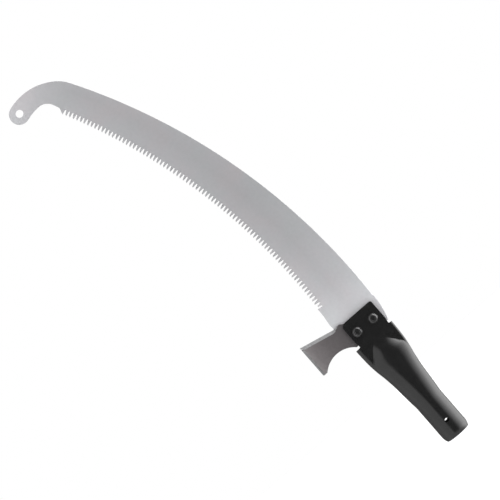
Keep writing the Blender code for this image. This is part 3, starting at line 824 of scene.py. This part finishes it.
class Look:
    """A node material around one Principled BSDF; positions are object coordinates in metres."""

    def __init__(self, name, **constants):
        self.material = bpy.data.materials.new(name)
        self.material.use_nodes = True
        self.links = self.material.node_tree.links
        self.shader = self.material.node_tree.nodes["Principled BSDF"]
        for socket, value in constants.items():
            self.shader.inputs[socket.replace("_", " ")].default_value = value
        self.place = self.node("ShaderNodeTexCoord", {}).outputs["Object"]

    def drive(self, socket, output):
        self.links.new(output, self.shader.inputs[socket])

    def node(self, kind, inputs, **settings):
        return add_node(self.material.node_tree, kind, inputs, **settings)

    def noise(self, scale, detail=3, roughness=0.5, stretch=(1, 1, 1), place=None):
        """Fractal noise between 0 and 1 with the given number of features per metre."""
        mapping = self.node("ShaderNodeMapping", {"Vector": place or self.place, "Scale": stretch})
        texture = self.node("ShaderNodeTexNoise", {"Vector": mapping.outputs[0], "Scale": scale,
                                                   "Detail": detail, "Roughness": roughness})
        return texture.outputs["Fac"]

    def ramp(self, value, stops):
        """A colour ramp: {position: grey or colour}."""
        node = self.node("ShaderNodeValToRGB", {"Fac": value})
        elements = node.color_ramp.elements
        while len(elements) < len(stops):
            elements.new(1)
        for element, (position, colour) in zip(elements, sorted(stops.items())):
            element.position = position
            element.color = (*colour, 1) if isinstance(colour, tuple) else (colour, colour, colour, 1)
        return node.outputs["Color"]

    def map(self, value, low, high, to_low, to_high):
        node = self.node("ShaderNodeMapRange", {"Value": value, "From Min": low, "From Max": high,
                                                "To Min": to_low, "To Max": to_high})
        return node.outputs["Result"]

    def mix(self, one, two, factor, blend="MIX"):
        node = self.node("ShaderNodeMix", {}, data_type="RGBA", blend_type=blend)
        for socket, value in ((node.inputs[0], factor), (node.inputs[6], one), (node.inputs[7], two)):
            if isinstance(value, bpy.types.NodeSocket):
                self.links.new(value, socket)
            else:
                socket.default_value = value if isinstance(value, (int, float)) else (*value, 1)
        return node.outputs[2]

    def bump(self, height, distance, strength=1.0):
        node = self.node("ShaderNodeBump", {"Height": height, "Distance": distance, "Strength": strength})
        self.drive("Normal", node.outputs[0])


def paint():
    """Glossy black paint over steel: orange peel, and a little unevenness in gloss."""
    look = Look("black_paint", Specular_IOR_Level=0.5, IOR=1.5)
    look.drive("Base Color", look.ramp(look.noise(140, 4), {0.3: 0.0085, 0.7: 0.0115}))
    look.drive("Roughness", look.map(look.noise(420, 3), 0.3, 0.7, 0.13, 0.19))
    look.bump(look.noise(900, 2), 0.012 * MM)
    return look.material


def satin_steel():
    """Plated sheet steel with a satin surface and cloudy tints, lighter at the edges; painted light makes it
    lighter at the heel and towards the hook.
    """
    look = Look("satin_steel", Metallic=0.45, IOR=1.5)
    place = look.node("ShaderNodeSeparateXYZ", {0: look.place}).outputs
    length = look.map(place["Z"], 170 * MM, 570 * MM, 0.0, 1.0)
    # painted light: lighter still towards the hook's eye
    painted_hook_light = look.map(place["X"], -100 * MM, -140 * MM, 1.0, 1.18)
    # painted light: lighter at the heel and the hook end, darker in the middle of the blade's length
    tone = look.ramp(length, {0.0: 0.75, 0.1: 0.6, 0.25: 0.515, 0.42: 0.48, 0.75: 0.5, 0.93: 0.52, 1.0: 0.58})
    centre = (TIP_CENTRE.x, 0, TIP_CENTRE.y)
    distance = look.node("ShaderNodeVectorMath", {0: look.place, 1: centre}, operation="DISTANCE")
    across = look.map(distance.outputs["Value"], TIP_RADIUS, TIP_RADIUS + 60 * MM, 0.0, 1.0)
    edges = look.ramp(across, {0.0: 1.0, 0.2: 1.0, 0.45: 0.93, 0.75: 0.97, 1.0: 0.99})
    clouds = look.ramp(look.noise(23, 3), {0.35: (0.96, 0.975, 1.0), 0.5: (0.975, 0.967, 1.0),
                                           0.65: (1.0, 0.965, 0.995)})
    fine = look.ramp(look.noise(300, 5, 0.6), {0.3: 0.95, 0.7: 1.0})
    colour = look.mix(look.mix(tone, edges, 1.0, "MULTIPLY"), clouds, 1.0, "MULTIPLY")
    colour = look.node("ShaderNodeVectorMath", {0: colour, "Scale": painted_hook_light}, operation="SCALE").outputs[0]
    look.drive("Base Color", look.mix(colour, fine, 1.0, "MULTIPLY"))
    grain = look.noise(1300, 3, 0.55, stretch=(0.25, 1, 1))
    look.drive("Roughness", look.map(grain, 0.3, 0.7, 0.46, 0.54))
    look.bump(grain, 0.004 * MM)
    return look.material


def hardened_steel():
    """The ground flanks of the teeth, darkened where their tips are hardened."""
    look = Look("hardened_steel", Metallic=0.1, Specular_IOR_Level=0.2, IOR=1.5)
    grain = look.noise(900, 3, 0.6, stretch=(1.5, 1, 0.2))
    look.drive("Base Color", look.ramp(grain, {0.3: (0.35, 0.35, 0.36), 0.7: (0.45, 0.45, 0.465)}))
    look.drive("Roughness", look.map(grain, 0.3, 0.7, 0.42, 0.55))
    look.bump(grain, 0.008 * MM)
    return look.material


def sheared_steel():
    """The sheared edge of the blade, duller than its plated faces."""
    look = Look("sheared_steel", Metallic=0.2, IOR=1.5)
    streaks = look.noise(800, 3, 0.6, stretch=(1, 0.1, 1))
    look.drive("Base Color", look.ramp(streaks, {0.3: (0.19, 0.19, 0.2), 0.7: (0.27, 0.27, 0.28)}))
    look.drive("Roughness", look.map(streaks, 0.3, 0.7, 0.5, 0.62))
    look.bump(streaks, 0.01 * MM)
    return look.material


def dark_steel():
    """The knife's heat-darkened steel, lighter towards its free end."""
    look = Look("dark_steel", Metallic=0.5, IOR=1.5)
    across = look.node("ShaderNodeSeparateXYZ", {0: look.place}).outputs["X"]
    fade = look.map(across, -68 * MM, -20 * MM, 0.0, 1.0)
    tone = look.ramp(fade, {0.0: (0.335, 0.313, 0.316), 0.2: (0.238, 0.219, 0.223), 0.5: (0.172, 0.157, 0.16),
                            1.0: (0.128, 0.118, 0.12)})
    fine = look.ramp(look.noise(300, 5, 0.6), {0.3: 0.9, 0.7: 1.0})
    look.drive("Base Color", look.mix(tone, fine, 1.0, "MULTIPLY"))
    look.drive("Roughness", look.map(look.noise(500, 4), 0.3, 0.7, 0.38, 0.48))
    look.bump(look.noise(1100, 4), 0.008 * MM)
    return look.material


def ground_steel():
    """Ground steel with coarse scratches across the edge."""
    look = Look("ground_steel", Metallic=0.8, IOR=1.5)
    grain = look.noise(700, 4, 0.65, stretch=(1.6, 1, 0.12))
    look.drive("Base Color", look.ramp(grain, {0.3: (0.25, 0.25, 0.255), 0.7: (0.42, 0.42, 0.425)}))
    look.drive("Roughness", look.map(grain, 0.3, 0.7, 0.4, 0.55))
    look.bump(grain, 0.02 * MM)
    return look.material


def black_oxide():
    """Blackened screws, worn a little brighter in places."""
    look = Look("black_oxide", Metallic=0.9, IOR=1.5)
    worn = look.noise(500, 4, 0.6)
    look.drive("Base Color", look.ramp(worn, {0.35: 0.085, 0.7: 0.115}))
    look.drive("Roughness", look.map(worn, 0.3, 0.7, 0.2, 0.26))
    look.bump(look.noise(2500, 3), 0.003 * MM)
    return look.material


def zinc():
    """Bright zinc plating with a faint bluish cast."""
    look = Look("zinc_plating", Metallic=1.0, IOR=1.5)
    tint = look.noise(220, 3)
    look.drive("Base Color", look.ramp(tint, {0.3: (0.37, 0.385, 0.405), 0.5: (0.41, 0.42, 0.42),
                                              0.7: (0.41, 0.405, 0.375)}))
    look.drive("Roughness", look.map(look.noise(900, 4), 0.3, 0.7, 0.26, 0.38))
    look.bump(look.noise(1800, 3), 0.005 * MM)
    return look.material


def nylon():
    """Off-white nylon of the locking rings."""
    look = Look("nylon", Roughness=0.45, IOR=1.53, Subsurface_Weight=0.15, Subsurface_Scale=0.5 * MM)
    look.drive("Base Color", look.ramp(look.noise(600, 3), {0.3: (0.6, 0.6, 0.56), 0.7: (0.7, 0.7, 0.67)}))
    look.bump(look.noise(1500, 3), 0.01 * MM)
    return look.material


# Stage

ROLL = math.radians(41)           # the socket points to the lower right of the picture
CAMERA_DISTANCE = 2.6
LENS = 176.2
AIM = Vector((-39.2 * MM, 0, 292 * MM))


def build_camera():
    data = bpy.data.cameras.new("camera")
    data.lens, data.sensor_width = LENS, 36
    data.clip_end = 50
    camera = bpy.data.objects.new("camera", data)
    bpy.context.scene.collection.objects.link(camera)
    right = Vector((math.cos(ROLL), 0, -math.sin(ROLL)))
    up = Vector((math.sin(ROLL), 0, math.cos(ROLL)))
    back = Vector((0, -1, 0))
    camera.matrix_world = Matrix.Translation(AIM + back * CAMERA_DISTANCE) @ Matrix(
        (right, up, back)).transposed().to_4x4()
    bpy.context.scene.camera = camera


STUDIO = {                        # brightness of the studio by azimuth from the front towards the right
    -180: 0.15, -140: 0.25, -122: 0.45, -85: 1.05, -24: 1.05, -14: 0.12, 0: 0.1, 26: 0.12,
    36: 0.75, 60: 2.7, 87: 4.9, 122: 3.4, 140: 1.2, 160: 0.5, 180: 0.15,
}
STUDIO_BRIGHTEST = 5.0
OVERHEAD = 0.8
OVERHEAD_FROM = (0.85, 0.97)      # Z of the direction, from the first trace of it to its full light
UNDERFOOT = 1.0
UNDERFOOT_FROM = (-0.35, -0.75)
SHADOWLESS = 1.08                 # lights the floor and everything matt evenly
FLOOR_SIZE = 6
FLOOR_DROP = 150 * MM             # a pole holds the head up, clear of the floor


def build_world():
    """A pale backdrop, and around the object a studio that is dark in front and bright at both sides."""
    world = bpy.data.worlds.new("studio")
    bpy.context.scene.world = world
    world.use_nodes = True
    world.node_tree.nodes.clear()

    def put(kind, inputs, **settings):
        return add_node(world.node_tree, kind, inputs, **settings)

    def calculate(operation, one, two=0.0):
        return put("ShaderNodeMath", {0: one, 1: two}, operation=operation).outputs[0]

    def blend(one, two, share):
        values = {"Value": share, "To Min": one, "To Max": two}
        return put("ShaderNodeMapRange", values).outputs["Result"]

    def rise(value, start, end):
        values = {"Value": value, "From Min": start, "From Max": end}
        return put("ShaderNodeMapRange", values, interpolation_type="SMOOTHSTEP").outputs["Result"]

    direction = put("ShaderNodeSeparateXYZ", {0: put("ShaderNodeTexCoord", {}).outputs["Generated"]})
    x, y, z = (direction.outputs[axis] for axis in "XYZ")
    azimuth = calculate("ARCTAN2", x, calculate("MULTIPLY", y, -1.0))
    ramp = put("ShaderNodeValToRGB", {"Fac": calculate("ADD", calculate("DIVIDE", azimuth, math.tau), 0.5)})
    elements = ramp.color_ramp.elements
    while len(elements) < len(STUDIO):
        elements.new(1)
    for element, (degrees, light) in zip(elements, sorted(STUDIO.items())):
        grey = light / STUDIO_BRIGHTEST
        element.position = degrees / 360 + 0.5
        element.color = (grey, grey, grey, 1)
    light = calculate("MULTIPLY", ramp.outputs["Color"], STUDIO_BRIGHTEST)
    light = blend(light, OVERHEAD, rise(z, *OVERHEAD_FROM))
    light = blend(light, UNDERFOOT, rise(z, *UNDERFOOT_FROM))
    ray = put("ShaderNodeLightPath", {}).outputs
    light = blend(light, SHADOWLESS, ray["Is Diffuse Ray"])
    light = blend(light, 1.0, ray["Is Camera Ray"])
    background = put("ShaderNodeBackground", {"Color": (1, 1, 1, 1), "Strength": light})
    put("ShaderNodeOutputWorld", {0: background.outputs[0]})


def build_floor():
    bpy.ops.mesh.primitive_plane_add(size=FLOOR_SIZE, location=(0, 0, -FLOOR_DROP))
    floor = bpy.context.object
    floor.name = "floor"
    material = bpy.data.materials.new("pale_floor")
    material.use_nodes = True
    shader = material.node_tree.nodes["Principled BSDF"]
    shader.inputs["Base Color"].default_value = (0.93, 0.93, 0.93, 1)
    shader.inputs["Roughness"].default_value = 0.9
    floor.data.materials.append(material)
    floor.visible_glossy = False


def build():
    build_socket(paint())
    build_blade(satin_steel(), hardened_steel(), sheared_steel())
    build_knife(dark_steel(), ground_steel())
    screws, plating, plastic = black_oxide(), zinc(), nylon()
    for side in ("left", "right"):
        build_screw(side, screws)
        build_washer(side, plating)
        build_nut(side, plating)
        build_insert(side, plastic)
    build_floor()
    build_world()
    build_camera()
    bpy.context.scene.view_settings.view_transform = "Standard"


build()
